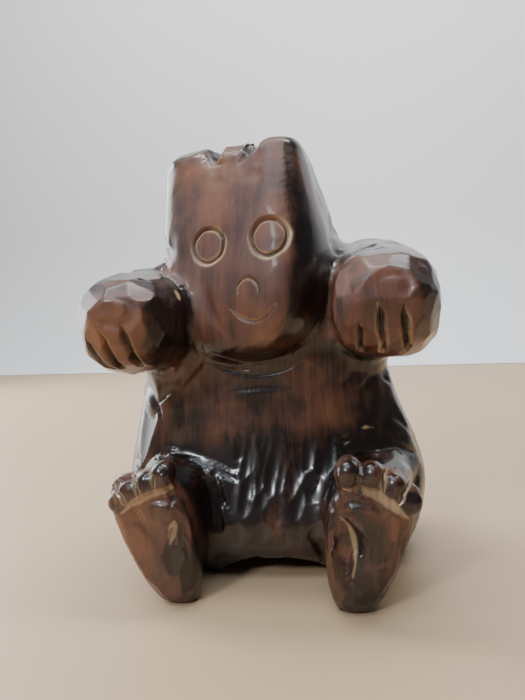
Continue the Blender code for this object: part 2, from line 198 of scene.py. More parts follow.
# Eyes: middle across and up, outer and inner radius, in millimetres
EYES = ((-25.2, 179.4, 10.9, 7.9), (9.2, 180.6, 11.4, 8.1))
EYE_DEPTH = 1.9
# The groove is deepest at this share of the way out. Its radius wobbles by shares, waves a turn and phases
EYE_FLOOR = 0.32
EYE_WOBBLES = ((0.012, 3, 1.0), (0.010, 7, 0.0))
EYE_MIDDLE, EYE_THICK = 0.9, 6
# The bare slope and rim: how far in they lie, how wide they are, how bare, and where round the eye in radians
EYE_SLOPE_IN, EYE_SLOPE_WIDE, EYE_SLOPE_TURN = 0.5, 0.9, 0.6
EYE_RIM_BARE, EYE_RIM_WIDE = 0.5, 0.5


class Stroke(NamedTuple):
    """One cut of knife or gouge, in millimetres: the places it passes, given across and up on the bear's
    front or in full, its width and depth, its floor from 1, a V, to 2, a round gouge, the share of its width
    at both ends, and how bare of stain its lips and its bed are."""

    path: tuple
    width: float
    depth: float
    floor: float = 1.5
    ends: tuple = (0.2, 0.2)
    lips: tuple = (0.0, 0.0)
    bed: float = 0.0


def finger(*path, width, lips):
    """The wedge between two fingers, narrow at the knuckles and open at the tips."""
    return Stroke(path, width, 0.7 * width, 1.2, (0.1, 0.9), lips)


def toe_gap(*path, lips=(0.5, 0.5)):
    """The cut between two toes, over their tops and down their fronts."""
    return Stroke(path, 2.6, 1.0, 1.2, (0.5, 0.3), lips)


def bared(*path, width, ends):
    """A shallow gouge that the stain missed."""
    return Stroke(path, width, 0.5, 1.8, ends, bed=0.5)


def splinter(*path):
    """A short pale scratch."""
    return Stroke(path, 1.3, 0.3, 1.2, (0.2, 0.2), (1.0, 1.0))


NOSE_LINE = ((-8.3, 152.8), (-8.0, 157.4), (-3.0, 160.8), (2.4, 157.4), (3.2, 152.2))
MOUTH_LINE = ((-12.6, 145.4), (-7.6, 140.7), (-0.9, 138.0), (5.8, 139.5), (11.8, 145.8))
THROAT_LINE = ((-36.0, 127.5), (-19.6, 119.5), (-5.5, 115.0), (9.8, 117.5), (24.0, 124.5))
LOWER_THROAT_LINE = ((-38.0, 120.0), (-20.6, 112.5), (-5.5, 108.6), (12.8, 111.0), (27.0, 118.0))

STROKES = (
    Stroke(NOSE_LINE, 2.1, 1.1, 1.3, (0.5, 0.5), (0.1, 0.5)),
    Stroke(MOUTH_LINE, 2.5, 1.3, 1.3, (0.5, 0.6), (0.6, 0.1)),
    Stroke(THROAT_LINE, 3.0, 0.8, 1.8, (0.0, 0.0), (0.1, 0.1)),
    Stroke(LOWER_THROAT_LINE, 3.0, 0.6, 1.8, (0.0, 0.0), (0.1, 0.0)),
    # Between the fingers of the right paw, then of the left
    finger((-79, -70, 134), (-76.6, -67.5, 124), (-70.5, -60, 115.5), width=4.4, lips=(0.35, 0.1)),
    finger((-70.4, -75, 138.5), (-67.5, -71.5, 126), (-64.5, -60, 115.8), width=5, lips=(0.35, 0.1)),
    finger((-58.8, -76, 140.5), (-56.4, -73, 128), (-54.5, -60, 117.5), width=5.4, lips=(0.3, 0.1)),
    finger((53.3, -74, 136.5), (53, -72.5, 129), (52.5, -62, 121), width=4.4, lips=(0.2, 0.3)),
    finger((61.8, -76.5, 145), (63, -76, 133), (64, -62, 120), width=4.6, lips=(0.4, 0.6)),
    finger((72.3, -77, 143.5), (73.4, -75, 132), (74, -62, 120.5), width=4.8, lips=(0.5, 0.2)),
    # Between the toes of the right foot, then of the left
    toe_gap((-66, -69, 62.5), (-61.5, -77, 56.4), (-57.5, -77, 50)),
    toe_gap((-57, -69, 68), (-53.6, -77, 61.7), (-51, -77, 55)),
    toe_gap((-48.5, -69, 73.5), (-45.8, -77, 66.2), (-44, -77, 59.5)),
    toe_gap((52.5, -69, 76.5), (51.9, -78, 69.5), (51.5, -78, 62.5), lips=(0.3, 0.3)),
    toe_gap((64, -69, 73), (62, -78, 66.5), (60, -78, 59.5)),
    toe_gap((74.5, -69, 66), (70.4, -77, 60.2), (67, -77, 54)),
    # Under the toes and down the insteps, right and left of each, and a crease on the right sole
    bared((-62, 48.5), (-54, 54.5), (-45, 58.5), (-36.5, 61), width=4.6, ends=(0.3, 0.7)),
    bared((44, 62), (54, 61.5), (64, 56.5), (72.5, 48.5), width=5, ends=(0.3, 0.3)),
    bared((-35.6, 46), (-37.4, 40), (-39.5, 33), width=4.4, ends=(0.2, 0.3)),
    bared((40.5, 50), (46.4, 42.5), (48.2, 30), (46.5, 18.5), width=3.4, ends=(0.3, 0.3)),
    Stroke(((-54.6, 52), (-52.4, 47), (-52, 42)), 2.2, 0.8, 1.1, (0.0, 0.0), (0.2, 0.2)),
    # Splinters on the right flank and the left side, and a chip off the right cheek
    splinter((-59.5, 95.6), (-52.5, 100)),
    splinter((51.5, 78.2), (59, 77.4)),
    Stroke(((-41.6, 158.5), (-39.6, 154), (-37.4, 149.5)), 4.0, 0.5, 1.8, (0.1, 0.1), (1.0, 1.0)),
)
STROKE_STEPS = 14
# The foremost skin is looked for this far round a place, or this far beyond the nearest point, in millimetres
FOREMOST_WITHIN, FOREMOST_BEYOND = 1.5, 0.5
# The share of a stroke over which it widens, and in half widths where its bare lips lie and its bare bed ends
STROKE_RUN_IN = 0.35
LIP_MIDDLE, LIP_WIDE, LIP_END = 0.75, 0.35, 1.6
BED_EDGE = (1.15, 0.7)
# How far round strokes and eyes the skin is split finer, and how deep a stroke is painted darkest as shade, in
# millimetres
FINE_BEYOND_STROKE, FINE_BEYOND_EYE, FINE_WITHIN_EYE = 0.8, 1.0, 2.0
DARKEST_DEPTH = 3

# The wood's figure: patches to a metre, how much the grain draws them out, and how often they are broken up
GRAIN = (1.0, 1.0, 0.045)
FINE_GRAIN, STREAKS, PATCHES = 750.0, 190.0, 26.0
FIGURE_DETAIL = 3.0
# How much each cause thins the stain, less how thick it is, and roughens the wood, less their usual sum.
# The deep cause weighs against thinning to paint shade in the cuts, and the rubbed share holds painted side
# shade.
THINNING_AND_SHADING = {
    "rubbing": 0.72, "tone": 0.7, "streaks": 0.9, "patches": 1.8, "fine": 0.6, "ridge": 0.12, "deep": -0.7,
}
STAIN_THICKNESS = 2.07
ROUGHENING = {"fine": 0.12, "patches": 0.25, "bare": 0.2, "dull": 0.25}
USUAL_ROUGHENING = 0.185
# Where orange wood glows through: from which patches, how sharply, also unrubbed, and how strongly at most
AMBER_FROM, AMBER_SHARPNESS, AMBER_UNRUBBED, AMBER_MOST = 0.52, 6.0, 0.15, 0.45
# Bare wood stays stained in the darkest streaks and patches: up to where, and how sharply
BARE_STREAKS, BARE_PATCHES = (0.22, 3.0), (0.25, 4.0)
BARE_MOST = 0.85
GRAIN_RELIEF, GRAIN_STRENGTH, FINE_RELIEF = 0.0003, 0.35, 0.5
LACQUER_ROUGHNESS = 0.14


# Skins as whole arrays


def edges_of(triangles):
    """Each edge once, as a pair of point numbers, and the numbers of the three edges of every triangle."""
    sides = np.sort(triangles[:, [[0, 1], [1, 2], [2, 0]]], axis=2).reshape(-1, 2).astype(np.int64)
    key = sides[:, 0] * (triangles.max() + 1) + sides[:, 1]
    _, first, back = np.unique(key, return_index=True, return_inverse=True)
    return sides[first], back.reshape(-1, 3)


def gathered(index, values, count):
    """Sums of the values that share an index."""
    return np.stack([np.bincount(index, weights=column, minlength=count) for column in values.T], axis=1)


def unit(vectors):
    """The vectors divided by their lengths."""
    return vectors / np.maximum(np.linalg.norm(vectors, axis=-1, keepdims=True), 1e-12)


def normals_of(points, triangles):
    """Outward normals at the points: the sum of the areas of the triangles round each, as a unit vector."""
    a, b, c = (points[triangles[:, i]] for i in range(3))
    area = np.cross(b - a, c - a)
    return unit(sum(gathered(triangles[:, i], area, len(points)) for i in range(3)))


def pulled(points, triangles, pulls):
    """Points after some pulls: each moves every point that share of the way to the mean of its neighbours."""
    edges = edges_of(triangles)[0]
    both = np.concatenate([edges, edges[:, ::-1]])
    count = np.bincount(both[:, 0], minlength=len(points))[:, None]
    for pull in pulls:
        mean = gathered(both[:, 0], points[both[:, 1]], len(points)) / count
        points = points + pull * (mean - points)
    return points


def eased(points, triangles, rounds):
    """Points after rounds of a pull towards their neighbours, and a slightly longer one back again."""
    return pulled(points, triangles, EASE_PULLS * rounds)


def smoother(points, triangles, share, rounds):
    """Points smoothed more where the share is high: each round pulls a point by a part of its share."""
    return pulled(points, triangles, [SMOOTH_PULL * share[:, None]] * rounds)


def hollowness(points, normals, triangles):
    """How far each point is in a hollow: 0 on flats and crests, 1 where smoothing raises it most."""
    smoothed = smoother(points, triangles, np.ones(len(points)), HOLLOW_ROUNDS)
    return step(*HOLLOW_RISE, ((smoothed - points) * normals).sum(axis=1) / MM)


def refined(points, triangles, wanted):
    """Splits each wanted triangle in four at its edges' middles, and its neighbours so that none gapes."""
    edges, sides = edges_of(triangles)
    split = np.zeros(len(edges), bool)
    split[sides[wanted]] = True
    middle = np.full(len(edges), -1)
    middle[split] = len(points) + np.arange(split.sum())
    points = np.concatenate([points, points[edges[split]].mean(axis=1)])
    marks = split[sides]
    count = marks.sum(axis=1)
    turn = np.select([count == 1, count == 2], [marks.argmax(axis=1), ((~marks).argmax(axis=1) + 1) % 3], 0)
    order = (turn[:, None] + np.arange(3)) % 3
    a, b, c = np.take_along_axis(triangles, order, axis=1).T
    ab, bc, ca = np.take_along_axis(middle[sides], order, axis=1).T
    fans = {
        0: [(a, b, c)],
        1: [(a, ab, c), (ab, b, c)],
        2: [(ab, b, bc), (a, ab, bc), (a, bc, c)],
        3: [(a, ab, ca), (ab, b, bc), (ca, bc, c), (ab, bc, ca)],
    }
    parts = [np.stack(corner, axis=1)[count == number] for number, fan in fans.items() for corner in fan]
    return points, np.concatenate(parts)


def roughed_out(cell):
    """The solid's skin as arrays: its loose triangles merged, then gone over in cells of one size."""
    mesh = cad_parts[BEAR_NODE].data.copy()
    obj = bpy.data.objects.new("roughed_out", mesh)
    bpy.context.scene.collection.objects.link(obj)
    weld = obj.modifiers.new("Weld", "WELD")
    weld.merge_threshold = WELD_GAP
    cells = obj.modifiers.new("Cells", "REMESH")
    cells.mode = "VOXEL"
    cells.voxel_size = cell
    worked = obj.evaluated_get(bpy.context.evaluated_depsgraph_get()).to_mesh()
    worked.calc_loop_triangles()
    points = np.empty(len(worked.vertices) * 3)
    worked.vertices.foreach_get("co", points)
    triangles = np.empty(len(worked.loop_triangles) * 3, np.int64)
    worked.loop_triangles.foreach_get("vertices", triangles)
    obj.to_mesh_clear()
    bpy.data.objects.remove(obj)
    bpy.data.meshes.remove(mesh)
    return points.reshape(-1, 3), triangles.reshape(-1, 3)


# Places on the bear


def step(low, high, value):
    """0 below low, 1 above high, and smooth between them. It falls instead where low is above high."""
    t = np.clip((value - low) / (high - low), 0, 1)
    return t * t * (3 - 2 * t)


def zone(name, points, normals=None):
    """How much each point belongs to a zone: the product of the steps of its bands."""
    x, y, z = (points / MM).T
    measures = {"x": x, "y": y, "z": z, "side": abs(x), "off_lap": abs(x - LAP_MIDDLE)}
    if normals is not None:
        measures |= {"faces_left": normals[:, 0], "faces_back": normals[:, 1]}
    return np.prod([step(start, full, measures[measure]) for measure, start, full in ZONES[name]], axis=0)


def regions(points):
    """How much each point belongs to each region with cuts of its own. What one takes, the next lacks."""
    arms = zone("arms", points) * (1 - zone("between_paws", points))
    head = zone("head", points) * (1 - arms)
    crown = head * zone("crown", points)
    face = (head - crown) * zone("face", points)
    soles = zone("soles", points)
    chest = zone("chest", points) * (1 - arms) * (1 - head)
    belly = zone("belly", points) * (1 - chest)
    return {
        "paws": arms, "head": head - crown - face, "face": face, "crown": crown, "chest": chest,
        "soles": soles * (1 - belly), "belly": belly,
        "body": np.clip(1 - arms - head - soles - chest - belly, 0, 1),
    }


def toes(points):
    """How much each point belongs to a toe: 1 at its middle, down to 0 at its reach."""
    near = np.min([np.linalg.norm(points / MM - toe, axis=1) for toe in TOES], axis=0)
    return step(TOE_REACH, TOE_FULL * TOE_REACH, near)


def rubbing(points, normals):
    """How far the stain is rubbed through: most on the face and the paws, then the chest and the soles. The
    face and paws also carry painted shade: they are rubbed less where they face the bear's left, away from the
    window light.
    """
    worn_and_shaded = {name: share * zone(name, points, normals) for name, share in RUBBED.items()}
    worn_and_shaded["rubbed_soles"] *= 1 - toes(points)
    return np.clip(sum(worn_and_shaded.values()), 0, 1)


def with_round_toes(points):
    """Points, with those in a toe's ball moved out to it. Its middle is a radius behind the toe's front."""
    for x, y, z in TOES:
        away = points / MM - (x, y + TOE_RADIUS, z - TOE_DROP)
        near = np.linalg.norm(away, axis=1)
        pushed = np.maximum(TOE_RADIUS / np.maximum(near, 1e-6), 1) - 1
        points = points + away * (np.minimum(pushed, 1.0) * step(*TOE_ROUNDED, away[:, 1]))[:, None] * MM
    return points


# Knife cuts


def knife_cuts(points, normals, cuts, seed):
    """Heights of the lowest and the next of overlapping knife cuts above the skin, and the lowest cut's tone.

    Space is parted in cells, shortened along the run of the knife. In each cell that the skin passes through,
    one of its points bears a cut: a plane square to the skin there but for a small tilt, sunk a little, and
    hollowed as a bowl by distance squared over twice the bowl radius. A cut rises out of the skin beyond its
    reach, behind its plane and where the skin turns from it. A point's height is the lowest of the cuts in
    its own cell and the 124 round it, so neighbours meet in ridges. Each cut takes the stain by chance from
    light to dark, which is its tone.
    """
    rng = np.random.default_rng(seed)
    run = unit(np.array(cuts.run))
    along = points @ run
    place = (points + np.outer(along * (1 / cuts.stretch - 1), run)) / cuts.spacing + rng.random(3)
    cell = np.floor(place).astype(np.int64)
    part = place - cell
    cell -= cell.min(axis=0) - NEARBY_CELLS[-1]
    size = cell.max(axis=0) + NEARBY_CELLS[-1] + 1
    key = (cell[:, 0] * size[1] + cell[:, 1]) * size[2] + cell[:, 2]
    keys, back = np.unique(key, return_inverse=True)
    miss = np.linalg.norm(part - rng.random((len(keys), 3))[back], axis=1)
    order = np.lexsort((miss, back))
    first = order[np.searchsorted(back[order], np.arange(len(keys)))]
    middle, sunk = points[first], cuts.sink * rng.random(len(keys))
    facing = unit(normals[first] + cuts.tilt * rng.normal(size=(len(keys), 3)))
    tones = rng.random(len(keys))
    best = np.full(len(points), np.inf)
    second = best.copy()
    tone = np.full(len(points), 0.5)
    for dx, dy, dz in product(NEARBY_CELLS, repeat=3):
        other = key + (dx * size[1] + dy) * size[2] + dz
        at = np.minimum(np.searchsorted(keys, other), len(keys) - 1)
        held = np.flatnonzero(keys[at] == other)
        at = at[held]
        away = points[held] - middle[at]
        out = (facing[at] * away).sum(axis=1)
        lean = (facing[at] * normals[held]).sum(axis=1)
        reach = (away**2).sum(axis=1) - out**2 - (away @ run) ** 2 * (1 - 1 / cuts.stretch**2)
        far = np.sqrt(np.maximum(reach, 0)) / cuts.spacing
        height = reach / (2 * cuts.bowl) - sunk[at] - out / np.maximum(lean, LEAST_LEAN)
        height += BEHIND_FADE * np.maximum(abs(out) + CUT_LOW, 0)
        height += REACH_FADE * np.maximum(far - REACH, 0)
        height += LEAN_FADE * np.maximum(FULL_LEAN - lean, 0)
        height[lean < LEAST_LEAN] = np.inf
        second[held] = np.minimum(second[held], np.maximum(best[held], height))
        tone[held] = np.where(height < best[held], tones[at], tone[held])
        best[held] = np.minimum(best[held], height)
    return best, second, tone


def cut_heights(points, normals, share):
    """Heights of all regions' knife cuts, how near each point is to a ridge, and the tone of its cut."""
    height, ridge, tone = np.zeros((3, len(points)))
    for seed, (name, cuts) in enumerate(CUTS.items(), start=1):
        here = np.flatnonzero(share[name] > 0)
        best, second, shade = knife_cuts(points[here], normals[here], cuts, seed)
        best = np.where(np.isfinite(best), best, 1)
        gap = np.where(np.isfinite(second), second - best, 1)
        height[here] += cuts.bite * share[name][here] * np.clip(best - CUT_SINK, CUT_LOW, 0)
        ridge[here] += share[name][here] * np.exp(-gap / (RIDGE_WIDTH * MM))
        tone[here] += share[name][here] * (0.5 + cuts.mottle * (shade - 0.5))
    return height, ridge, tone


# Strokes


def curve_through(places, steps):
    """Evenly numbered places on a smooth curve through a few, by cubics with the neighbours' slopes."""
    table = np.array(places, float)
    at = np.linspace(0, len(table) - 1, steps)
    slope = np.gradient(table, axis=0)
    i = np.minimum(at.astype(int), len(table) - 2)
    t = (at - i)[:, None]
    return (
        (2 * t**3 - 3 * t**2 + 1) * table[i]
        + (t**3 - 2 * t**2 + t) * slope[i]
        + (3 * t**2 - 2 * t**3) * table[i + 1]
        + (t**3 - t**2) * slope[i + 1]
    )


def within(points, path, reach):
    """The numbers of the points within a path's own box, grown by a reach."""
    low, high = path.min(axis=0) - reach, path.max(axis=0) + reach
    return np.flatnonzero(np.all((points > low) & (points < high), axis=1))


def along_path(points, path):
    """Each point's distance from a path of straight bits, and its share of the way along it."""
    start, run = path[:-1], np.diff(path, axis=0)
    away = points[:, None] - start
    t = np.clip((away * run).sum(axis=2) / np.maximum((run**2).sum(axis=1), 1e-18), 0, 1)
    gap = np.linalg.norm(away - t[..., None] * run, axis=2)
    at = gap.argmin(axis=1)
    row = np.arange(len(points))
    return gap[row, at], (at + t[row, at]) / len(run)


def laid_on(points, places):
    """A smooth path laid on the skin. Places across and up take the foremost skin, full ones the nearest."""
    laid = []
    for place in curve_through(places, STROKE_STEPS) * MM:
        if len(place) == 2:
            near = np.hypot(points[:, 0] - place[0], points[:, 2] - place[1])
            close = near < max(FOREMOST_WITHIN * MM, near.min() + FOREMOST_BEYOND * MM)
            laid.append((place[0], points[close, 1].min(), place[1]))
        else:
            laid.append(points[np.linalg.norm(points - place, axis=1).argmin()])
    laid = np.array(laid)
    laid[1:-1] = (laid[:-2] + 2 * laid[1:-1] + laid[2:]) / 4
    return laid


def stroke_fields(points, normals, path, stroke):
    """How deep a stroke cuts at each point, and how bare of stain it leaves it.

    The cut is the depth times 1 less the share of the half width to the power of its floor. The half width
    grows from each end over a third of the path. The lips are bare where the cut runs out to the skin.
    """
    near, share = along_path(points, path)
    start, end = stroke.ends
    from_start = start + (1 - start) * step(0, STROKE_RUN_IN, share)
    from_end = end + (1 - end) * step(1, 1 - STROKE_RUN_IN, share)
    size = np.minimum(from_start, from_end)
    part = near / np.maximum(stroke.width / 2 * MM * size, 1e-5)
    cut = stroke.depth * MM * np.sqrt(size) * np.clip(1 - part**stroke.floor, 0, 1)
    at = np.clip((share * (len(path) - 1)).astype(int), 0, len(path) - 2)
    run = unit(path[at + 1] - path[at])
    side = (np.cross(run, points - path[at]) * normals).sum(axis=1)
    lip = np.exp(-(((part - LIP_MIDDLE) / LIP_WIDE) ** 2)) * (part < LIP_END)
    return cut, np.maximum(lip * np.where(side > 0, *stroke.lips), stroke.bed * step(*BED_EDGE, part))


def eye_fields(points, normals, middle, outer, inner):
    """How deep the groove round an eye is at each point, and how bare of stain.

    The depth falls straight from the groove's floor to its inner and outer radius, which wobble by sines of
    the turn. The outer slope is bare below the eye, and the rim round it a little, by bell curves.
    """
    center = laid_on(points, (middle, middle))[0]
    close = np.linalg.norm(points - center, axis=1) < inner * MM * EYE_MIDDLE
    facing = unit(normals[close].mean(axis=0))
    across = unit(np.cross((0.0, 0.0, 1.0), facing))
    up = np.cross(facing, across)
    away = points - center
    u, v = away @ across / MM, away @ up / MM
    turn = np.arctan2(v, u)
    wobble = 1 + sum(share * np.sin(waves * turn + phase) for share, waves, phase in EYE_WOBBLES)
    radius = np.hypot(u, v) / wobble
    floor = inner + EYE_FLOOR * (outer - inner)
    inside = np.clip((radius - inner) / (floor - inner), 0, 1)
    outside = np.clip((outer - radius) / (outer - floor), 0, 1)
    flat = abs(away @ facing) < EYE_THICK * MM
    cut = EYE_DEPTH * MM * np.minimum(inside, outside) * flat
    lower = 0.5 - 0.5 * np.sin(turn - EYE_SLOPE_TURN)
    slope = np.exp(-(((radius - outer + EYE_SLOPE_IN) / EYE_SLOPE_WIDE) ** 2)) * lower
    rim = EYE_RIM_BARE * np.exp(-(((radius - inner) / EYE_RIM_WIDE) ** 2))
    return cut, np.clip(slope + rim, 0, 1) * flat


def near_strokes(points, paths):
    """Which points lie on or close to a stroke or the ring round an eye."""
    near = np.zeros(len(points), bool)
    for path, stroke in zip(paths, STROKES):
        reach = (stroke.width / 2 + FINE_BEYOND_STROKE) * MM
        boxed = within(points, path, reach)
        near[boxed] |= along_path(points[boxed], path)[0] < reach
    for x, z, outer, inner in EYES:
        ring = np.hypot(points[:, 0] / MM - x, points[:, 2] / MM - z)
        front = points[:, 1] < FINE_FRONT * MM
        near |= (ring < outer + FINE_BEYOND_EYE) & (ring > inner - FINE_WITHIN_EYE) & front
    return near


def all_strokes(points, normals, paths):
    """How deep the strokes and eyes cut at each point, and how bare they leave it: the most of any."""
    cut, bare = np.zeros((2, len(points)))
    for x, z, outer, inner in EYES:
        deeper, barer = eye_fields(points, normals, (x, z), outer, inner)
        cut, bare = np.maximum(cut, deeper), np.maximum(bare, barer)
    for path, stroke in zip(paths, STROKES):
        boxed = within(points, path, stroke.width * MM)
        deeper, barer = stroke_fields(points[boxed], normals[boxed], path, stroke)
        cut[boxed], bare[boxed] = np.maximum(cut[boxed], deeper), np.maximum(bare[boxed], barer)
    return cut, bare


# The whole skin


def made_ready(cell):
    """The skin before it is cut: eased, moved out at the right temple and up at the right ear, smoothed, split
    finer in front, and with round toes."""
    points, triangles = roughed_out(cell)
    points = eased(points, triangles, EASE_ROUNDS)
    smooth = np.maximum.reduce([share * zone(name, points) for name, share in SMOOTHED.items()])
    temple, ear = zone("right_temple", points), zone("right_ear", points)
    points = points + np.column_stack([-TEMPLE_OUT * temple, np.zeros(len(points)), EAR_UP * ear]) * MM
    points = smoother(points, triangles, smooth, SMOOTH_ROUNDS)
    _, y, z = points[triangles].mean(axis=1).T / MM
    front = (y < FINE_FRONT) | (z > FINE_CROWN_ABOVE) & (y < FINE_CROWN_BEFORE)
    points, triangles = refined(points, triangles, front)
    return with_round_toes(eased(points, triangles, LAST_EASE_ROUNDS)), triangles


def knifed(points, triangles):
    """The points after the knife, with the ridge and tone at each. The cuts fade in hollows, on the toes and
    on the legs behind the soles, but not in the hollows of the belly."""
    share = regions(points)
    normals = normals_of(points, triangles)
    height, ridge, tone = cut_heights(points, normals, share)
    kept = np.maximum((1 - hollowness(points, normals, triangles)) * (1 - toes(points)), share["belly"])
    kept *= 1 - zone("behind_soles", points, normals)
    return points + normals * (kept * height)[:, None], ridge, tone


def carved(sizes):
    """The carved skin's points and triangles, and how bare, ridged, toned, deep and rubbed each point is. The
    depth share paints shade in the cuts, and the rubbed share holds painted side shade.
    """
    points, triangles = made_ready(sizes.skin_cell)
    points, ridge, tone = knifed(points, triangles)
    paths = [laid_on(points, stroke.path) for stroke in STROKES]
    near = near_strokes(points, paths)
    packed = np.column_stack([points, ridge, tone])
    packed, triangles = refined(packed, triangles, near[triangles].any(axis=1))
    points, ridge, tone = packed[:, :3], packed[:, 3], packed[:, 4]
    normals = normals_of(points, triangles)
    cut, bare = all_strokes(points, normals, paths)
    points = points - normals * cut[:, None]
    points[:, 2] = np.maximum(points[:, 2], 0)
    # Painted shade: a stroke's groove is painted darker the deeper it cuts, darkest at DARKEST_DEPTH
    deep = np.clip(cut / (DARKEST_DEPTH * MM), 0, 1)
    shares = {"bare": bare, "ridge": ridge, "tone": tone, "deep": deep, "rubbing": rubbing(points, normals)}
    return points, triangles, shares


def mesh_object(name, points, triangles, shares):
    """A smooth-shaded object at the origin, from arrays, with each share as an attribute of its points."""
    mesh = bpy.data.meshes.new(name)
    mesh.vertices.add(len(points))
    mesh.vertices.foreach_set("co", points.astype(np.float32).ravel())
    mesh.loops.add(triangles.size)
    mesh.loops.foreach_set("vertex_index", triangles.astype(np.int32).ravel())
    mesh.polygons.add(len(triangles))
    mesh.polygons.foreach_set("loop_start", np.arange(0, triangles.size, 3, dtype=np.int32))
    mesh.update(calc_edges=True)
    mesh.validate()
    mesh.shade_smooth()
    for label, values in shares.items():
        layer = mesh.attributes.new(label, "FLOAT", "POINT")
        layer.data.foreach_set("value", values.astype(np.float32))
    obj = bpy.data.objects.new(name, mesh)
    bpy.context.scene.collection.objects.link(obj)
    return obj


# Shader maths


class Wire:
    """A socket whose operators add Math nodes to its tree."""

    def __init__(self, shop, socket):
        self.shop, self.socket = shop, socket

    def math(self, operation, *others, clamp=False):
        """The result of a Math node on this socket and others, kept between 0 and 1 if clamp is set."""
        settings = {"operation": operation, "use_clamp": clamp}
        return self.shop.add("ShaderNodeMath", settings, dict(enumerate((self, *others))))["Value"]

    def __add__(self, other):
        return self.math("ADD", other)

    def __sub__(self, other):
        return self.math("SUBTRACT", other)

    def __mul__(self, other):
        return self.math("MULTIPLY", other)

    def __pow__(self, other):
        return self.math("POWER", other)

    def __rsub__(self, other):
        return self * -1.0 + other

    __radd__ = __add__
    __rmul__ = __mul__

    def clamped(self):
        """The value kept between 0 and 1."""
        return self.math("ADD", 0.0, clamp=True)


class Shop:
    """A material's node tree, to which nodes are added by type, settings and the values of their sockets."""

    def __init__(self, name):
        self.material = bpy.data.materials.new(name)
        self.material.use_nodes = True
        self.tree = self.material.node_tree
        self.shader = self.tree.nodes["Principled BSDF"]

    def link(self, socket, value):
        """Links a wire to a socket, or sets the socket to a plain value."""
        if isinstance(value, Wire):
            self.tree.links.new(value.socket, socket)
        else:
            socket.default_value = value

    def feed(self, name, value):
        """Gives a value to one of the shader's sockets."""
        self.link(self.shader.inputs[name], value)

    def add(self, kind, settings, values):
        """Adds a node of a type, sets it, fills its sockets, and gives its outputs by name as wires."""
        node = self.tree.nodes.new(kind)
        for key, value in settings.items():
            setattr(node, key, value)
        for key, value in values.items():
            self.link(node.inputs[key], value)
        return {output.name: Wire(self, output) for output in node.outputs if output.enabled}

    def noise(self, place, scale):
        """A cloudy pattern from 0 to 1 over places, with so many patches to a metre."""
        values = {"Vector": place, "Scale": scale, "Detail": FIGURE_DETAIL}
        return self.add("ShaderNodeTexNoise", {}, values)["Fac"]

    def mix(self, share, first, second):
        """A colour between two, by a share: socket 0 of a Mix node, whose colours are sockets 6 and 7."""
        return self.add("ShaderNodeMix", {"data_type": "RGBA"}, {0: share, 6: first, 7: second})["Result"]


def opaque(color):
    """A colour of three parts with a fourth for a socket that asks for one."""
    return (*color, 1.0)


def weighed(weights, causes):
    """The sum of some causes, each times its weight."""
    return sum(causes[name] * weight for name, weight in weights.items())


def stained_wood(finish):
    """Straight-grained wood, stained nearly black in its lows and rubbed browner on its flats, and lacquered.
    Its cuts are painted darker with their depth, and its face and paws where they face the bear's left, as
    painted shade.

    The stain thins by a weighed sum of the rubbed share, the cut's tone and the wood's figure, from the
    stain's colour to the rubbed one, and that sum also holds the painted shade. Amber shows in some patches,
    and bare wood where a stroke ran through the stain.
    """
    shop = Shop("stained wood")
    place = shop.add("ShaderNodeTexCoord", {}, {})["Object"]
    grain = shop.add("ShaderNodeMapping", {}, {"Vector": place, "Scale": GRAIN})["Vector"]
    causes = {
        name: shop.add("ShaderNodeAttribute", {"attribute_name": name}, {})["Fac"]
        for name in ("bare", "ridge", "deep", "tone", "rubbing")
    }
    fine = shop.noise(grain, FINE_GRAIN)
    streaks = shop.noise(grain, STREAKS)
    patches = shop.noise(place, PATCHES)
    causes |= {"fine": fine, "streaks": streaks, "patches": patches, "dull": causes["rubbing"] ** 2}

    # Painted shade lowers this share: in deep cuts, and where the face and paws face the bear's left
    thinned_and_shaded = (weighed(THINNING_AND_SHADING, causes) - STAIN_THICKNESS).clamped()
    color = shop.mix(thinned_and_shaded, opaque(finish.stain), opaque(finish.rubbed))
    glow = (patches - AMBER_FROM) * AMBER_SHARPNESS * (causes["rubbing"] + AMBER_UNRUBBED)
    color = shop.mix(glow.clamped() * AMBER_MOST, color, opaque(finish.amber))
    for figure, (start, sharpness) in ((streaks, BARE_STREAKS), (patches, BARE_PATCHES)):
        causes["bare"] = causes["bare"] * ((figure - start) * sharpness).clamped()
    color = shop.mix(causes["bare"] * BARE_MOST, color, opaque(finish.bare_wood))
    shop.feed("Base Color", color)

    roughness = weighed(ROUGHENING, causes) + (finish.roughness - USUAL_ROUGHENING)
    shop.feed("Roughness", roughness.clamped())
    shop.feed("Coat Weight", (1.0 - causes["dull"]) * finish.lacquer)
    shop.feed("Coat Roughness", LACQUER_ROUGHNESS)
    relief = {"Height": fine * FINE_RELIEF + streaks, "Strength": GRAIN_STRENGTH, "Distance": GRAIN_RELIEF}
    shop.feed("Normal", shop.add("ShaderNodeBump", {}, relief)["Normal"])
    return shop.material


def plain(name, color, roughness):
    """A material of one colour, for the floor and the backdrop."""
    shop = Shop(name)
    shop.feed("Base Color", opaque(color))
    shop.feed("Roughness", roughness)
    return shop.material


# Properties, operators and panel


class CarvingSizes(bpy.types.PropertyGroup):
    skin_cell: FloatProperty(
        name="Skin cell", description="Cell of the first skin", default=0.0025, unit="LENGTH", precision=4
    )


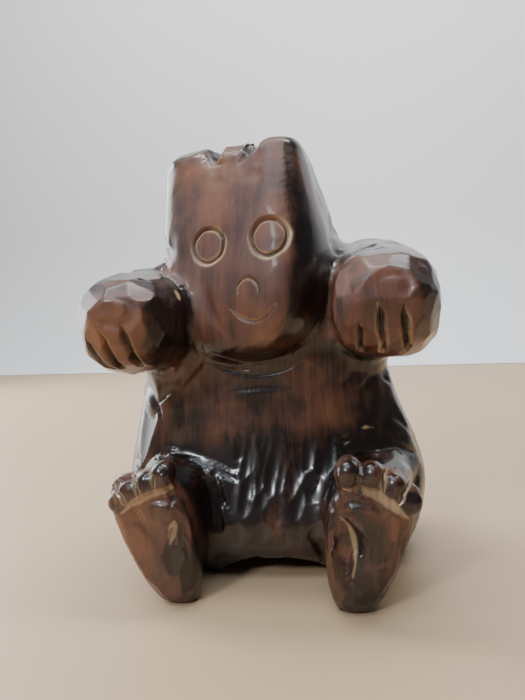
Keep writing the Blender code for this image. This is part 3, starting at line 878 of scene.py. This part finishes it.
class WoodFinish(bpy.types.PropertyGroup):
    stain: FloatVectorProperty(
        name="Stain", description="Darkest stained wood", subtype="COLOR", default=(0.011, 0.0055, 0.0045)
    )
    rubbed: FloatVectorProperty(
        name="Rubbed", description="Stain rubbed thin", subtype="COLOR", default=(0.150, 0.056, 0.034)
    )
    amber: FloatVectorProperty(
        name="Amber", description="Orange wood under thin stain", subtype="COLOR",
        default=(0.26, 0.105, 0.035),
    )
    bare_wood: FloatVectorProperty(
        name="Bare wood", description="Wood that the stain missed", subtype="COLOR",
        default=(0.70, 0.50, 0.29),
    )
    roughness: FloatProperty(
        name="Roughness", description="Roughness of the wood", default=0.32, min=0, max=1, subtype="FACTOR"
    )
    lacquer: FloatProperty(
        name="Lacquer", description="Weight of the lacquer", default=0.45, min=0, max=1, subtype="FACTOR"
    )


class StudioSizes(bpy.types.PropertyGroup):
    floor: FloatProperty(name="Floor", description="Side of the floor", default=6.0, unit="LENGTH")
    window: FloatProperty(name="Window", description="Power of the window light", default=18.0, unit="POWER")
    near_window: FloatProperty(
        name="Near window", description="Power of the light in front", default=10.0, unit="POWER"
    )
    overhead: FloatProperty(
        name="Overhead", description="Power of the light above", default=5.0, unit="POWER"
    )
    backdrop_light: FloatProperty(
        name="Backdrop light", description="Power of the light on the backdrop", default=75.0, unit="POWER"
    )


class BEAR_OT_carve(bpy.types.Operator):
    """Carves the bear's skin over its roughed-out solid"""

    bl_idname = "carved_bear.carve"
    bl_label = "Carve Bear"

    def execute(self, context):
        points, triangles, shares = carved(context.scene.bear_carving)
        bear = mesh_object(BEAR_NAME, points, triangles, shares)
        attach(bear, "root")
        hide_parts(BEAR_NODE)
        return {"FINISHED"}


class BEAR_OT_finish_wood(bpy.types.Operator):
    """Stains and lacquers the carved bear"""

    bl_idname = "carved_bear.finish_wood"
    bl_label = "Finish Wood"

    def execute(self, context):
        bear = bpy.data.objects[BEAR_NAME]
        bear.data.materials.clear()
        bear.data.materials.append(stained_wood(context.scene.bear_finish))
        return {"FINISHED"}


def stage_piece(name, corners, faces, material):
    """Part of the stage, from corners and faces."""
    mesh = bpy.data.meshes.new(name)
    mesh.from_pydata(corners, [], faces)
    mesh.shade_smooth()
    mesh.materials.append(material)
    obj = bpy.data.objects.new(name, mesh)
    bpy.context.scene.collection.objects.link(obj)
    return obj


def lay_floor(half):
    """A flat square at z = 0."""
    corners = [(-half, -half, 0), (half, -half, 0), (half, half, 0), (-half, half, 0)]
    floor = stage_piece("floor", corners, [(0, 1, 2, 3)], plain("pale floor", FLOOR_COLOR, FLOOR_ROUGHNESS))
    floor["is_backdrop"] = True


def hang_backdrop(half):
    """A pale sheet behind the bear, with a quarter round at its foot: by sine away, by 1 less cosine up."""
    turn = np.linspace(0, math.pi / 2, BACKDROP_STEPS)
    away = np.append(BACKDROP_AWAY - BACKDROP_BEND * (1 - np.sin(turn)), BACKDROP_AWAY)
    up = np.append(BACKDROP_BEND * (1 - np.cos(turn)), BACKDROP_TALL)
    corners = [(x, y, z + BACKDROP_LIFT) for y, z in zip(away, up) for x in (-half, half)]
    faces = [(i, i + 1, i + 3, i + 2) for i in range(0, len(corners) - 2, 2)]
    sheet = stage_piece("backdrop", corners, faces, plain("pale sheet", BACKDROP_COLOR, BACKDROP_ROUGHNESS))
    sheet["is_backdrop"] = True


def soft_light(name, light, power):
    """A rectangle of light at its place, facing its target."""
    lamp = bpy.data.lights.new(name, "AREA")
    lamp.shape = "RECTANGLE"
    lamp.size, lamp.size_y = light.size
    lamp.energy = power
    lamp.color = light.color
    obj = bpy.data.objects.new(name, lamp)
    bpy.context.scene.collection.objects.link(obj)
    obj.location = light.place
    obj.rotation_euler = (Vector(light.target) - Vector(light.place)).to_track_quat("-Z", "Y").to_euler()


def studio_camera():
    """The camera at the photograph's place: turned, dipped and rolled, with its focal length."""
    data = bpy.data.cameras.new("camera")
    camera = bpy.data.objects.new("camera", data)
    bpy.context.scene.collection.objects.link(camera)
    data.sensor_width = SENSOR
    data.lens = SENSOR * FOCAL_PIXELS / max(FRAME_WIDTH, FRAME_HEIGHT)
    data.clip_start = NEAREST_SEEN
    turn = Matrix.Rotation(math.radians(CAMERA_TURN), 4, "Z")
    dip = Matrix.Rotation(math.radians(90 - CAMERA_DIP), 4, "X")
    roll = Matrix.Rotation(math.radians(-CAMERA_ROLL), 4, "Z")
    camera.matrix_world = Matrix.Translation(CAMERA_PLACE) @ turn @ dip @ roll
    bpy.context.scene.camera = camera


class BEAR_OT_set_stage(bpy.types.Operator):
    """Lays a plain pale floor, hangs a backdrop, and sets soft light and the camera"""

    bl_idname = "carved_bear.set_stage"
    bl_label = "Set Stage"

    def execute(self, context):
        studio = context.scene.bear_studio
        lay_floor(studio.floor / 2)
        hang_backdrop(studio.floor / 2)
        for name, light in LIGHTS.items():
            soft_light(name, light, getattr(studio, name))
        world = bpy.data.worlds.new("room")
        world.use_nodes = True
        room = world.node_tree.nodes["Background"]
        room.inputs["Color"].default_value = ROOM_COLOR
        room.inputs["Strength"].default_value = ROOM_LIGHT
        context.scene.world = world
        studio_camera()
        return {"FINISHED"}


class BEAR_PT_sidebar(bpy.types.Panel):
    bl_label = "Carved Bear"
    bl_idname = "BEAR_PT_sidebar"
    bl_space_type = "VIEW_3D"
    bl_region_type = "UI"
    bl_category = "Carved Bear"

    def draw(self, context):
        layout = self.layout
        for group in ("bear_carving", "bear_finish", "bear_studio"):
            box = layout.box()
            settings = getattr(context.scene, group)
            for name in settings.__annotations__:
                box.prop(settings, name)
        for operator in (BEAR_OT_carve, BEAR_OT_finish_wood, BEAR_OT_set_stage):
            layout.operator(operator.bl_idname)


CLASSES = (
    CarvingSizes,
    WoodFinish,
    StudioSizes,
    BEAR_OT_carve,
    BEAR_OT_finish_wood,
    BEAR_OT_set_stage,
    BEAR_PT_sidebar,
)


def register():
    for cls in CLASSES:
        bpy.utils.register_class(cls)
    bpy.types.Scene.bear_carving = PointerProperty(type=CarvingSizes)
    bpy.types.Scene.bear_finish = PointerProperty(type=WoodFinish)
    bpy.types.Scene.bear_studio = PointerProperty(type=StudioSizes)


def unregister():
    for name in ("bear_carving", "bear_finish", "bear_studio"):
        delattr(bpy.types.Scene, name)
    for cls in reversed(CLASSES):
        bpy.utils.unregister_class(cls)


def main():
    register()
    bpy.ops.carved_bear.carve()
    bpy.ops.carved_bear.finish_wood()
    bpy.ops.carved_bear.set_stage()
    bpy.context.view_layer.update()


if __name__ == "__main__":
    main()
